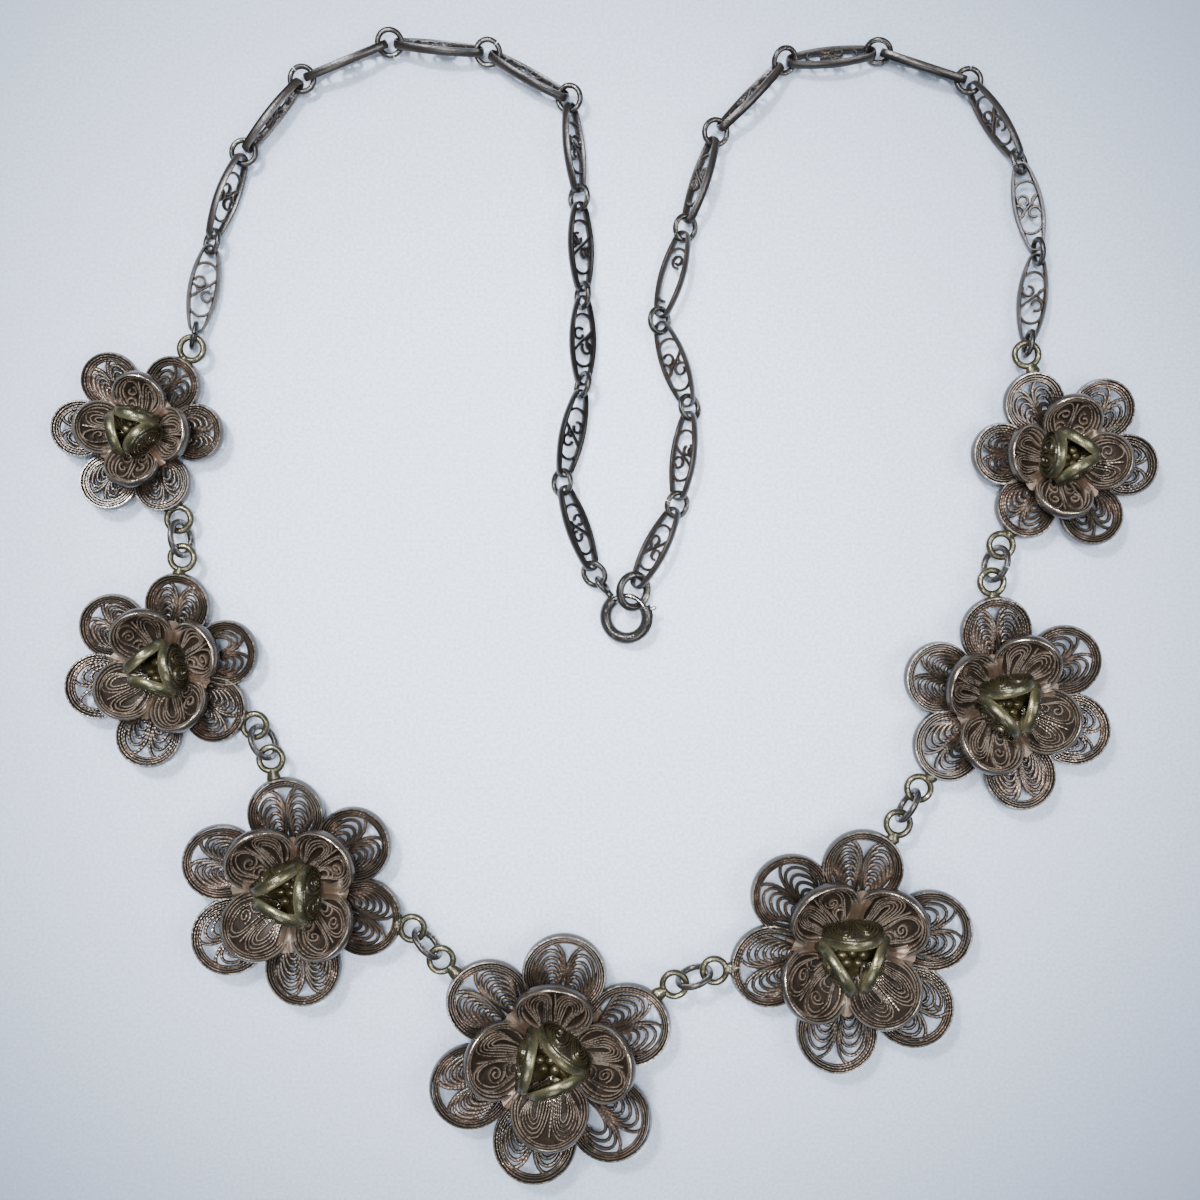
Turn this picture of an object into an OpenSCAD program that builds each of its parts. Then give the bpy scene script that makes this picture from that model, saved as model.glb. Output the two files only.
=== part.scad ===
// Filigree necklace: seven graduated silver flowers, two chains of boat-shaped filigree links
// and a spring ring clasp, laid on a table as a heart with the clasp in its middle.
// X runs to the right, Y away from the largest flower and Z up. The table is at z = 0.

/* [Flat wire of the petals] */
// Thickness of the flat wire bent round every petal
strip_t = 0.35; // [0.3:0.05:0.45]
// Height of the flat wire bent round every petal
strip_h = 1.1; // [0.9:0.05:1.2]
// Thickness of the filigree panel inside a petal
panel_t = 0.45; // [0.4:0.05:0.6]
// Height of the petals' roots above the table
root_z = 0.8; // [0.75:0.05:0.95]

/* [Outer petals] */
// Width of an outer petal, as a share of the flower's radius
outer_w = 0.66; // [0.6:0.01:0.68]
// Angle at which an outer petal rises
outer_rise = 10; // [8:1:12]
// Radius of each of a petal's two lobes, as a share of the flower's radius
lobe_r = 0.12; // [0.1:0.005:0.125]
// Width of the open crescent at each lobe's tip, as a share of the flower's radius
crescent_w = 0.07; // [0.04:0.005:0.08]

/* [Inner petals] */
// Diameter of an inner petal, as a share of the flower's radius
inner_d = 0.61; // [0.55:0.01:0.64]
// Angle at which an inner petal rises
inner_rise = 35; // [30:1:42]
// Distance of an inner petal's root from the middle, as a share of the flower's radius
inner_root = 0.14; // [0.11:0.01:0.17]
// Height of the inner petals' roots
inner_z = 1.5; // [1.3:0.1:1.7]
// Depth of a petal's cup, as a share of its diameter
cup_depth = 0.13; // [0.1:0.01:0.16]

/* [Bud] */
// Diameter of a bud petal, as a share of the flower's radius
bud_d = 0.5; // [0.45:0.01:0.54]
// Angle at which a bud petal stands, past upright where it leans in
bud_rise = 98; // [95:1:101]
// Distance of a bud petal's root from the middle, as a share of the flower's radius
bud_root = 0.2; // [0.18:0.01:0.22]
// Height of the bud petals' roots
bud_z = 1.6; // [1.4:0.1:1.8]

/* [Loops and jump rings] */
// Outer diameter of the loops soldered to the flowers
loop_od = 3.3; // [3.2:0.05:3.4]
// Wire of the soldered loops
loop_wire = 0.66; // [0.6:0.02:0.7]
// Distance from a petal's tip down to its loop
loop_drop = 0.3; // [0.2:0.05:0.35]
// Outer diameter of the jump rings between two flowers
flower_ring_od = 4.4; // [4.3:0.05:4.5]
// Wire of the jump rings between two flowers
flower_ring_wire = 0.66; // [0.56:0.02:0.7]
// Outer diameter of the chain's jump rings
chain_ring_od = 3.32; // [3.3:0.01:3.34]
// Wire of the chain's jump rings
chain_ring_wire = 0.62; // [0.56:0.02:0.64]

/* [Chain links] */
// Length of a link over its ends
link_len = 10.2; // [10.1:0.05:10.25]
// Width of a link at its middle
link_w = 3.4; // [3.2:0.05:3.45]
// Radius of a link's rounded ends
link_end_r = 0.98; // [0.94:0.02:1.02]
// Thickness of the flat wire bent round a link
link_t = 0.32; // [0.28:0.02:0.34]
// Height of the flat wire bent round a link
link_h = 0.9; // [0.8:0.05:0.92]
// Radius of the two bows of the scroll inside a link
scroll_r = 1.25; // [1.22:0.01:1.3]
// Width of the scroll's wire
scroll_t = 0.26; // [0.22:0.02:0.3]
// Height of the scroll's wire
scroll_h = 0.6; // [0.5:0.05:0.7]

/* [Clasp] */
// Outer diameter of the spring ring
clasp_od = 6.1; // [6:0.05:6.2]
// Diameter of its tube
clasp_tube = 1.33; // [1.28:0.01:1.38]
// Bore of the tube
clasp_bore = 0.74; // [0.7:0.02:0.8]
// Diameter of the sliding bolt
bolt_d = 0.56; // [0.5:0.02:0.58]
// How far the bolt slides back round the ring
bolt_travel = 85; // [60:1:90]
// Outer diameter of the large ring that hooks into the clasp
catch_od = 4.6; // [4.5:0.05:4.65]
// Wire of that large ring
catch_wire = 0.9; // [0.86:0.02:0.92]

/* [Hidden] */
FLOWERS = 7;
LINKS = 11;
$fn = 48;

// The flowers, from the left end of the garland round to its right end.
// A loop is soldered on at a direction and a distance from the flower's middle.
F_X = 0;
F_Y = 1;
F_R = 2;
F_INNER = 3;
F_BUD = 4;
F_LOOP_A = 5;
F_DIST_A = 6;
F_LOOP_B = 7;
F_DIST_B = 8;
//    x, y, radius, turn of inner petals, turn of bud, loop a direction and distance, loop b
flowers = [
    [-52.0, 19.7, 9.8, -6, 75, 57, 11.0, 295, 10.8],
    [-49.2, -6.9, 11.2, 29, 12, 80, 12.7, 329, 12.0],
    [-34.7, -31.5, 13.0, 43, 2, 99, 14.9, 343, 14.0],
    [-5.9, -50.0, 14.3, -2, 50, 138, 16.4, 31, 16.0],
    [27.5, -38.1, 13.9, 38, 95, 188, 15.4, 70, 15.1],
    [44.8, -10.6, 12.2, 65, 105, 224, 13.6, 97, 13.6],
    [51.3, 16.7, 10.6, -6, 57, 234, 12.0, 110, 12.3]
];
// Directions of each flower's six outer petals, bent by hand and so not quite even.
petal_turns = [
    [-1, 54, 119, 177, 240, 295],
    [15, 77, 139, 194, 258, 323],
    [37, 95, 158, 216, 278, 340],
    [23, 81, 138, 200, 259, 314],
    [14, 82, 137, 191, 260, 318],
    [36, 98, 159, 216, 281, 339],
    [-6, 51, 118, 176, 232, 296]
];
// The inner petals and the bud's petals, bent by hand too: turn, extra rise and extra height.
inner_bends = [[0, 0, 0], [88, 2, 0.07], [181, -1.5, 0.13], [271, 1, -0.05]];
bud_bends = [[0, 0, 0], [117, -3, 0.12], [242, 2.5, -0.08]];
// How far each jump ring between two flowers leans up from lying flat
ring_leans = [71, 65, 79, 74, 86, 66];

// The chains, from the clasp or the first flower on. Each row is a jump ring: its middle, how far
// it leans up from lying flat, the direction of its high side, and the roll of the link after it.
C_X = 0;
C_Y = 1;
C_Z = 2;
C_LEAN = 3;
C_HIGH = 4;
C_ROLL = 5;
//    x, y, z, lean, high side, roll of the next link
left_chain = [
    [-45.9, 30.5, 1.65, 75, 350, 20],
    [-44.0, 41.1, 1.35, 45, 350, 65],
    [-40.3, 51.0, 1.80, 0, 130, 90],
    [-33.8, 59.2, 1.75, 10, 75, 115],
    [-24.0, 63.3, 1.70, 25, 95, 125],
    [-13.0, 62.2, 1.70, 30, 75, 125],
    [-3.9, 57.0, 1.90, 25, 30, 125],
    [-2.8, 46.0, 1.50, 45, 5, 140],
    [-2.4, 35.0, 1.65, 60, 0, 145],
    [-2.4, 25.0, 1.55, 60, 345, 140],
    [-4.7, 14.1, 1.35, 45, 0, 135],
    [-1.1, 3.8, 1.35, 35, 40, 0]
];
right_chain = [
    [3.3, 1.9, 1.75, 34, 167, -40],
    [8.2, 11.6, 1.30, 35, 160, -40],
    [9.6, 22.5, 1.35, 40, 190, -30],
    [6.2, 32.2, 1.60, 40, 175, -35],
    [9.1, 42.6, 1.50, 35, 155, -60],
    [12.5, 53.2, 1.85, 20, 145, -65],
    [20.2, 61.2, 1.90, 40, 130, -40],
    [30.7, 62.3, 1.70, 50, 70, -65],
    [40.8, 59.0, 1.80, 0, 200, 65],
    [46.6, 50.1, 1.30, 45, 195, 15],
    [48.6, 39.9, 1.70, 85, 5, 5],
    [47.5, 29.6, 1.75, 90, 348, 0]
];
// The fourth link of the right chain has lost most of its scroll.
BROKEN_LINK = 4;

// Middle of everything laid out by these tables, set over the origin
LAYOUT_MIDDLE = [0.03, 0.41];

// Shares of a flower's radius: its two hubs, the places of a petal's lobes, where solder starts
HUB_R = 0.17;
BUD_HUB_R = 0.13;
LOBE_OUT = 0.7;
LOBE_ASIDE = 0.155;
SOLDER_FROM = 0.93;
// How far the bud's hub stands above the bud petals' roots, and the width of a loop's solder
BUD_HUB_RISE = 0.5;
SOLDER_D = 0.95;
// How far an upright jump ring hangs below the loops it joins
RING_SAG = 0.3;
// How much an outer petal's rise wavers from one to the next, bent by hand
RISE_WAVER = 0.5;
// Height of a link's middle on its rings, and the gap under whatever all but touches the table
LINK_Z = 1.35;
TABLE_GAP = 0.05;

// Where the clasp lies, leaning up to one side on the large ring
CLASP_AT = [2.5, -1.0, 1.6];
CLASP_LEAN = 15;
CLASP_HIGH = 20;
// Directions round the clasp, in degrees: ends of its tube, of its bolt, and its knob and eye
TUBE_END = 123;
TUBE_MOUTH = 29;
BOLT_TIP = 130;
BOLT_TAIL = -12;
KNOB_AT = 18;
EYE_AT = 127.5;
// How far the socket goes into the tube, the room for the spring and what the slot leaves spare
SOCKET_DEPTH = 11;
SPRING_TURN = 60;
SPARE_TURN = 8;
BORE_PAST = 5;
KNOB_D = 0.44;
KNOB_OUT = 0.55;
SLOT_W = 0.6;
// The eye's middle from the clasp's, its radius, its wire and the solder between it and the tube
EYE_OUT = 4.5;
EYE_R = 0.9;
EYE_WIRE = 0.6;
EYE_SOLDER_D = 0.7;

clasp_r = (clasp_od - clasp_tube) / 2;
catch_r = (catch_od - catch_wire) / 2;
loop_r = (loop_od - loop_wire) / 2;

function along(direction, distance) = [distance * cos(direction), distance * sin(direction)];
function middle(f) = [f[F_X], f[F_Y]];
function loop_z(f) = root_z + f[F_R] * sin(outer_rise) - loop_drop;
function loop_a(f) = middle(f) + along(f[F_LOOP_A], f[F_DIST_A]);
function loop_b(f) = middle(f) + along(f[F_LOOP_B], f[F_DIST_B]);
function heading(v) = atan2(v[1], v[0]);
function petal_rise(turn) = outer_rise + RISE_WAVER * sin(5 * turn);

module on_table() {
    translate(-LAYOUT_MIDDLE) children();
}

// A teardrop: a round tip of radius r about [c, 0], tapering along its tangents to [apex, 0]
module teardrop(r, c, apex) {
    half_angle = asin(r / (c - apex));
    tangent = (c - apex) * cos(half_angle);
    tx = apex + tangent * cos(half_angle);
    ty = tangent * sin(half_angle);
    translate([c, 0]) circle(r = r);
    polygon([[apex, 0], [tx, -ty], [c, 0], [tx, ty]]);
}

// The teardrop of an outer petal, moved in by a margin all round
module petal_outline(flower_r, margin) {
    r = outer_w * flower_r / 2;
    half_angle = asin(r / (flower_r - r));
    teardrop(r - margin, flower_r - r, margin / sin(half_angle));
}

// The open crescent between a lobe's outermost wire and the rest of its filling
module crescent(flower_r, side) {
    at = [LOBE_OUT * flower_r, side * LOBE_ASIDE * flower_r];
    difference() {
        translate(at) circle(r = lobe_r * flower_r);
        translate(at - [crescent_w * flower_r, 0]) circle(r = lobe_r * flower_r);
    }
}

module outer_petal(flower_r) {
    linear_extrude(strip_h, center = true) difference() {
        petal_outline(flower_r, 0);
        petal_outline(flower_r, strip_t);
    }
    linear_extrude(panel_t, center = true) difference() {
        petal_outline(flower_r, strip_t / 2);
        crescent(flower_r, 1);
        crescent(flower_r, -1);
    }
}

// A round petal beaten into a shallow cup, with a flat wire round its rim
module cupped_petal(d) {
    depth = cup_depth * d;
    rim_r = d / 2 - strip_t / 2;
    ball_r = (rim_r * rim_r + depth * depth) / (2 * depth);
    rotate_extrude() {
        translate([d / 2 - strip_t, -strip_h / 2]) square([strip_t, strip_h]);
        intersection() {
            translate([0, ball_r - depth]) difference() {
                circle(r = ball_r + panel_t / 2, $fn = 96);
                circle(r = ball_r - panel_t / 2, $fn = 96);
            }
            translate([0, -depth - panel_t]) square([rim_r, depth + 2 * panel_t]);
        }
    }
}

// A wire ring standing on its own plane, its high side towards a direction
module wire_ring(at, lean, high, r, wire) {
    translate(at) rotate([0, 0, high]) rotate([0, -lean, 0])
        rotate_extrude() translate([r, 0]) circle(d = wire, $fn = 24);
}

// A loop lying flat at a petal's tip, with the solder that holds it
module soldered_loop(f, direction, distance) {
    wire_ring(concat(along(direction, distance), loop_z(f)), 0, 0, loop_r, loop_wire);
    start = SOLDER_FROM * f[F_R];
    translate(concat(along(direction, start), loop_z(f) + loop_drop / 3))
        rotate([0, 90, direction])
            cylinder(d = SOLDER_D, h = distance - loop_r - start, $fn = 24);
}

module flower(index) {
    f = flowers[index];
    r = f[F_R];
    color("rosybrown") on_table() translate(middle(f)) {
        cylinder(r = HUB_R * r, h = root_z);
        cylinder(r = BUD_HUB_R * r, h = bud_z + BUD_HUB_RISE);
        for (turn = petal_turns[index])
            rotate([0, 0, turn]) translate([0, 0, root_z]) rotate([0, -petal_rise(turn), 0])
                outer_petal(r);
        for (bend = inner_bends)
            rotate([0, 0, f[F_INNER] + bend[0]]) translate([inner_root * r, 0, inner_z + bend[2]])
                rotate([0, -inner_rise - bend[1], 0]) translate([inner_d * r / 2, 0, 0])
                    cupped_petal(inner_d * r);
        for (bend = bud_bends)
            rotate([0, 0, f[F_BUD] + bend[0]]) translate([bud_root * r, 0, bud_z + bend[2]])
                rotate([0, -bud_rise - bend[1], 0]) translate([bud_d * r / 2, 0, 0])
                    cupped_petal(bud_d * r);
        soldered_loop(f, f[F_LOOP_A], f[F_DIST_A]);
        soldered_loop(f, f[F_LOOP_B], f[F_DIST_B]);
    }
}

// The jump ring that stands through loop b of one flower and loop a of the next, leaning aside
module flower_ring(index) {
    from = loop_b(flowers[index]);
    to = loop_a(flowers[index + 1]);
    lean = ring_leans[index];
    r = (flower_ring_od - flower_ring_wire) / 2;
    loops_z = (loop_z(flowers[index]) + loop_z(flowers[index + 1])) / 2;
    z = max(loops_z - RING_SAG, r * sin(lean) + flower_ring_wire / 2 + TABLE_GAP);
    color("darkkhaki") on_table()
        wire_ring(concat((from + to) / 2, z), lean, heading(to - from) - 90, r, flower_ring_wire);
}

// A boat shape with round ends, moved out by a margin from its pointed core
module boat(margin) {
    core_x = link_len / 2 - link_end_r;
    core_y = link_w / 2 - link_end_r;
    bow_r = (core_x * core_x + core_y * core_y) / (2 * core_y);
    cut_x = core_x * (bow_r + margin) / bow_r;
    intersection() {
        translate([0, bow_r - core_y]) circle(r = bow_r + margin, $fn = 180);
        translate([0, core_y - bow_r]) circle(r = bow_r + margin, $fn = 180);
        square([2 * cut_x, 2 * link_w], center = true);
    }
    for (side = [-1, 1]) translate([side * core_x, 0]) circle(r = margin);
}

// One bow of the S-shaped scroll: a half ring to the side that it bulges to
module scroll_bow(side) {
    translate([side * scroll_r, 0]) difference() {
        circle(r = scroll_r + scroll_t / 2);
        circle(r = scroll_r - scroll_t / 2);
        translate([-2 * scroll_r, side > 0 ? -4 * scroll_r : 0]) square(4 * scroll_r);
    }
}

module link_body(whole) {
    linear_extrude(link_h, center = true) difference() {
        boat(link_end_r);
        boat(link_end_r - link_t);
    }
    linear_extrude(scroll_h, center = true) {
        scroll_bow(1);
        if (whole) scroll_bow(-1);
    }
}

function link_height(roll) =
    max(LINK_Z, link_w / 2 * abs(sin(roll)) + link_h / 2 * abs(cos(roll)) + TABLE_GAP);

module link(chain, number) {
    here = [chain[number - 1][C_X], chain[number - 1][C_Y]];
    next = [chain[number][C_X], chain[number][C_Y]];
    roll = chain[number - 1][C_ROLL];
    whole = chain != right_chain || number != BROKEN_LINK;
    color("dimgray") on_table() translate(concat((here + next) / 2, link_height(roll)))
        rotate([0, 0, heading(next - here)]) rotate([roll, 0, 0]) link_body(whole);
}

module row_ring(row, r, wire) {
    wire_ring([row[C_X], row[C_Y], row[C_Z]], row[C_LEAN], row[C_HIGH], r, wire);
}

module chain_rings(chain, first) {
    r = (chain_ring_od - chain_ring_wire) / 2;
    color("slategray") on_table() for (i = [first:LINKS]) {
        row_ring(chain[i], r, chain_ring_wire);
    }
}

module lay_clasp() {
    on_table() translate(CLASP_AT) rotate([0, 0, CLASP_HIGH]) rotate([0, -CLASP_LEAN, 0])
        rotate([0, 0, -CLASP_HIGH]) children();
}

// An arc of round bar about the clasp's middle
module bar_arc(from, to, d) {
    rotate([0, 0, from]) rotate_extrude(angle = to - from) translate([clasp_r, 0]) circle(d = d, $fn = 32);
}

module clasp_tube() {
    chamber_end = BOLT_TAIL - bolt_travel - SPRING_TURN;
    slot_end = KNOB_AT - bolt_travel - SPARE_TURN;
    color("dimgray") lay_clasp() {
        difference() {
            bar_arc(TUBE_END, TUBE_MOUTH + 360, clasp_tube);
            bar_arc(chamber_end, TUBE_MOUTH + BORE_PAST, clasp_bore);
            bar_arc(TUBE_END - BORE_PAST, TUBE_END + SOCKET_DEPTH, clasp_bore);
            rotate([0, 0, slot_end]) rotate_extrude(angle = bolt_travel + 2 * SPARE_TURN)
                translate([clasp_r, -SLOT_W / 2]) square([clasp_tube, SLOT_W]);
        }
        rotate([0, 0, EYE_AT]) {
            translate([EYE_OUT, 0, 0]) rotate([90, 0, 0])
                rotate_extrude() translate([EYE_R, 0]) circle(d = EYE_WIRE, $fn = 24);
            solder_from = clasp_r + clasp_bore / 2 + EYE_WIRE / 4;
            translate([solder_from, 0, 0]) rotate([0, 90, 0])
                cylinder(d = EYE_SOLDER_D, h = EYE_OUT - EYE_R - solder_from, $fn = 24);
        }
    }
}

module clasp_bolt() {
    color("silver") lay_clasp() {
        bar_arc(BOLT_TAIL, BOLT_TIP, bolt_d);
        rotate([0, 0, KNOB_AT]) translate([clasp_r, 0, 0]) rotate([0, 90, 0])
            cylinder(d = KNOB_D, h = clasp_tube / 2 + KNOB_OUT, $fn = 24);
    }
}

module catch_ring() {
    color("slategray") on_table() row_ring(right_chain[0], catch_r, catch_wire);
}

for (i = [1:FLOWERS]) {
    flower(i - 1);
}
for (i = [1:FLOWERS - 1]) {
    flower_ring(i - 1);
}
for (i = [1:LINKS]) {
    link(left_chain, i);
    link(right_chain, i);
}
chain_rings(left_chain, 0);  // left_chain_rings
chain_rings(right_chain, 1);  // right_chain_rings
clasp_tube();
clasp_bolt();
catch_ring();
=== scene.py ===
from math import asin, atan2, cos, degrees, exp, pi, radians, sin, sqrt, tan

import bmesh
import bpy
import numpy as np
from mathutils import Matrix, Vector


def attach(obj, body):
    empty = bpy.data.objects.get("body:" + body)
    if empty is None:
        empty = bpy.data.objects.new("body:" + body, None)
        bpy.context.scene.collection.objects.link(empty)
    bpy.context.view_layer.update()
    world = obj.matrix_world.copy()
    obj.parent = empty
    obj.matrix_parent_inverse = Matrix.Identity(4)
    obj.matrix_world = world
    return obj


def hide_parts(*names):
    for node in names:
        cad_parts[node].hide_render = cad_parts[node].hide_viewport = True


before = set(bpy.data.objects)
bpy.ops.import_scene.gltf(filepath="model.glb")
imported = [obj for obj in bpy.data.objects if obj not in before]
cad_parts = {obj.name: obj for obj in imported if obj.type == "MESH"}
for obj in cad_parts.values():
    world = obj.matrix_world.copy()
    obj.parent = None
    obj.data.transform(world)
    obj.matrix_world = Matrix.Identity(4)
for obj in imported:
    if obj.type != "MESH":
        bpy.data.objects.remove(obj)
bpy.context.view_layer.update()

# The seven flowers of the garland, graduated towards the middle. Each is silver filigree: petals of
# flat wire bent on edge, filled with scrolls of fine twisted wire. Petals, hub and loops are
# soldered to each other, and the whole has tarnished brown with its edges rubbed bright: wear,
# and a painted highlight.
MM = 0.001
LAYOUT_MIDDLE = (0.03, 0.41)
FLOWER_SEED = 40
WEB_SEED = 90
SHARP_FROM = 50
# Millimetres and degrees. OUTER_WIDTH, the hub's R, and the D and ROOT of the inner petals and the
# bud are shares of a flower's radius. CUP is a share of a petal's D.
STRIP_T = 0.35
STRIP_H = 1.1
ROOT_Z = 0.8
OUTER_RISE = 10
RISE_WAVER = 0.5
OUTER_WIDTH = 0.66
INNER_D = 0.61
INNER_RISE = 35
INNER_ROOT = 0.14
INNER_Z = 1.5
BUD_D = 0.5
BUD_RISE = 98
BUD_ROOT = 0.2
BUD_Z = 1.6
CUP = 0.13
HUB_R = 0.23
HUB_FOOT_R = 0.17
LOOP_R = 1.32
LOOP_WIRE = 0.72
LOOP_DROP = 0.3
# x, y, radius, turn of inner petals and of bud, then each loop's direction and distance
FLOWERS = [
    (-52.0, 19.7, 9.8, -6, 75, (57, 11.0), (295, 10.8)),
    (-49.2, -6.9, 11.2, 29, 12, (80, 12.7), (329, 12.0)),
    (-34.7, -31.5, 13.0, 43, 2, (99, 14.9), (343, 14.0)),
    (-5.9, -50.0, 14.3, -2, 50, (138, 16.4), (31, 16.0)),
    (27.5, -38.1, 13.9, 38, 95, (188, 15.4), (70, 15.1)),
    (44.8, -10.6, 12.2, 65, 105, (224, 13.6), (97, 13.6)),
    (51.3, 16.7, 10.6, -6, 57, (234, 12.0), (110, 12.3)),
]
PETAL_TURNS = [
    (-1, 54, 119, 177, 240, 295),
    (15, 77, 139, 194, 258, 323),
    (37, 95, 158, 216, 278, 340),
    (23, 81, 138, 200, 259, 314),
    (14, 82, 137, 191, 260, 318),
    (36, 98, 159, 216, 281, 339),
    (-6, 51, 118, 176, 232, 296),
]
# Damage: how many hoops are left in one half of a petal, by flower, petal and side
HOOPS_LEFT = {(1, 3, 1): 1, (1, 3, -1): 4, (1, 0, 1): 3, (2, 3, 1): 3, (3, 5, -1): 4}
# Black dirt caught in a petal, by flower: petal, x, y, size
CAUGHT_DIRT = {0: (4, 7.2, 1.4, 0.9), 4: (5, 11.4, 1.7, 1.1)}
INNER_BENDS = ((0, 0, 0), (88, 2, 0.07), (181, -1.5, 0.13), (271, 1, -0.05))
BUD_BENDS = ((0, 0, 0), (117, -3, 0.12), (242, 2.5, -0.08))


def linear(hex_colour):
    """An sRGB hex colour as the linear colour that a socket takes."""
    parts = [int(hex_colour[i:i + 2], 16) / 255 for i in (1, 3, 5)]
    return [c / 12.92 if c <= 0.04045 else ((c + 0.055) / 1.055) ** 2.4 for c in parts] + [1]


def add(tree, kind, sockets=None, **settings):
    """Adds a node with its settings, and fills or links its inputs. A node given for an input
    stands for its first output."""
    node = tree.nodes.new(kind)
    for name, value in settings.items():
        setattr(node, name, value)
    for key, value in (sockets or {}).items():
        if isinstance(value, bpy.types.Node):
            value = value.outputs[0]
        if isinstance(value, bpy.types.NodeSocket):
            tree.links.new(value, node.inputs[key])
        else:
            node.inputs[key].default_value = value
    return node


def wire_tree():
    """Sweeps a rounded flat section along each polyline, standing upright on the polyline's plane.
    Each point's own width and height are read from it, so that a wire can be flattened or tapered.
    A corner keeps its lift, from -1 at the wire's foot to 1 at its crown, for the tarnish, and for
    the wear and painted highlight."""
    tree = bpy.data.node_groups.new("drawn_wire", "GeometryNodeTree")
    face = tree.interface
    face.new_socket("Geometry", in_out="INPUT", socket_type="NodeSocketGeometry")
    kinds = {"Edge rounding": "Float", "Rounding steps": "Int", "Metal": "Material"}
    inputs = {}
    for name, kind in kinds.items():
        socket = face.new_socket(name, in_out="INPUT", socket_type="NodeSocket" + kind)
        inputs[name] = socket.identifier
    face.new_socket("Geometry", in_out="OUTPUT", socket_type="NodeSocketGeometry")
    given = add(tree, "NodeGroupInput")
    curve = add(tree, "GeometryNodeMeshToCurve", {"Mesh": given.outputs["Geometry"]})
    point = add(tree, "GeometryNodeInputPosition")
    centred = add(tree, "GeometryNodeStoreNamedAttribute",
                  {"Geometry": curve, "Name": "centreline", "Value": point},
                  data_type="FLOAT_VECTOR", domain="POINT")
    spline = add(tree, "GeometryNodeSplineParameter")
    measured = add(tree, "GeometryNodeStoreNamedAttribute",
                   {"Geometry": centred, "Name": "along", "Value": spline.outputs["Length"]},
                   data_type="FLOAT", domain="POINT")
    upright = add(tree, "GeometryNodeSetCurveNormal", {"Curve": measured}, mode="Z_UP")
    square = add(tree, "GeometryNodeCurvePrimitiveQuadrilateral", {"Width": 1.0, "Height": 1.0})
    section = add(tree, "GeometryNodeFilletCurve",
                  {"Curve": square, "Radius": given.outputs["Edge rounding"],
                   "Count": given.outputs["Rounding steps"], "Limit Radius": True}, mode="POLY")
    swept = add(tree, "GeometryNodeCurveToMesh",
                {"Curve": upright, "Profile Curve": section, "Fill Caps": True})
    centre, width, height = [
        add(tree, "GeometryNodeInputNamedAttribute", {"Name": name}, data_type=kind)
        for name, kind in (("centreline", "FLOAT_VECTOR"), ("width", "FLOAT"), ("height", "FLOAT"))]
    size = add(tree, "ShaderNodeCombineXYZ", {"X": width, "Y": width, "Z": height})
    corner = add(tree, "GeometryNodeInputPosition")
    offset = add(tree, "ShaderNodeVectorMath", {0: corner, 1: centre}, operation="SUBTRACT")
    scaled = add(tree, "ShaderNodeVectorMath", {0: offset, 1: size}, operation="MULTIPLY")
    moved = add(tree, "ShaderNodeVectorMath", {0: scaled, 1: centre}, operation="ADD")
    apart = add(tree, "ShaderNodeSeparateXYZ", {0: offset})
    lift = add(tree, "ShaderNodeMath", {0: apart.outputs["Z"], 1: 2.0}, operation="MULTIPLY")
    lifted = add(tree, "GeometryNodeStoreNamedAttribute",
                 {"Geometry": swept, "Name": "lift", "Value": lift},
                 data_type="FLOAT", domain="POINT")
    drawn = add(tree, "GeometryNodeSetPosition", {"Geometry": lifted, "Position": moved})
    real = add(tree, "GeometryNodeRealizeInstances", {"Geometry": drawn})
    metal = add(tree, "GeometryNodeSetMaterial",
                {"Geometry": real, "Material": given.outputs["Metal"]})
    add(tree, "NodeGroupOutput", {"Geometry": metal})
    return tree, inputs


WIRE_TREE, WIRE_INPUTS = wire_tree()


class Wire:
    """A polyline in its petal's or ring's own plane, with the section drawn along it. Without a
    height the wire is as high as it is wide."""

    def __init__(self, points, width, height=None, z=0.0, closed=False, bed=0):
        height = width if height is None else height
        self.points = np.array(points, float)
        if self.points.shape[1] == 2:
            self.points = np.column_stack([self.points, np.full(len(self.points), z)])
        self.width = np.broadcast_to(np.asarray(width, float), len(self.points))
        self.height = np.broadcast_to(np.asarray(height, float), len(self.points))
        self.closed = closed
        self.bed = bed


def placed(name, data):
    """A new object in the scene."""
    thing = bpy.data.objects.new(name, data)
    bpy.context.scene.collection.objects.link(thing)
    return thing


def plain_mesh(thing):
    """An object with its modifiers applied, as a plain mesh."""
    seen = thing.evaluated_get(bpy.context.evaluated_depsgraph_get())
    return bpy.data.meshes.new_from_object(seen)


# Edge rounding of a round wire
ROUND = 0.5


def draw_wires(wires, metal, rounding=0.3, steps=1):
    """Runs the wire tree over the wires and gives one plain mesh. A point's "bed" is the number of
    the bed that it is laid on."""
    points, edges, width, height, beds = [], [], [], [], []
    for wire in wires:
        first, count = len(points), len(wire.points)
        points.extend(wire.points * MM)
        edges.extend((first + i, first + i + 1) for i in range(count - 1))
        if wire.closed:
            edges.append((first + count - 1, first))
        width.extend(wire.width * MM)
        height.extend(wire.height * MM)
        beds.extend([wire.bed] * count)
    lines = bpy.data.meshes.new("lines")
    lines.from_pydata(points, edges, [])
    for name, kind, values in (("width", "FLOAT", width), ("height", "FLOAT", height),
                               ("bed", "INT", beds)):
        lines.attributes.new(name, kind, "POINT").data.foreach_set("value", values)
    holder = placed("lines", lines)
    modifier = holder.modifiers.new("drawn_wire", "NODES")
    modifier.node_group = WIRE_TREE
    modifier[WIRE_INPUTS["Edge rounding"]] = rounding
    modifier[WIRE_INPUTS["Rounding steps"]] = steps
    modifier[WIRE_INPUTS["Metal"]] = metal
    mesh = plain_mesh(holder)
    bpy.data.objects.remove(holder)
    bpy.data.meshes.remove(lines)
    return mesh


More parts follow.
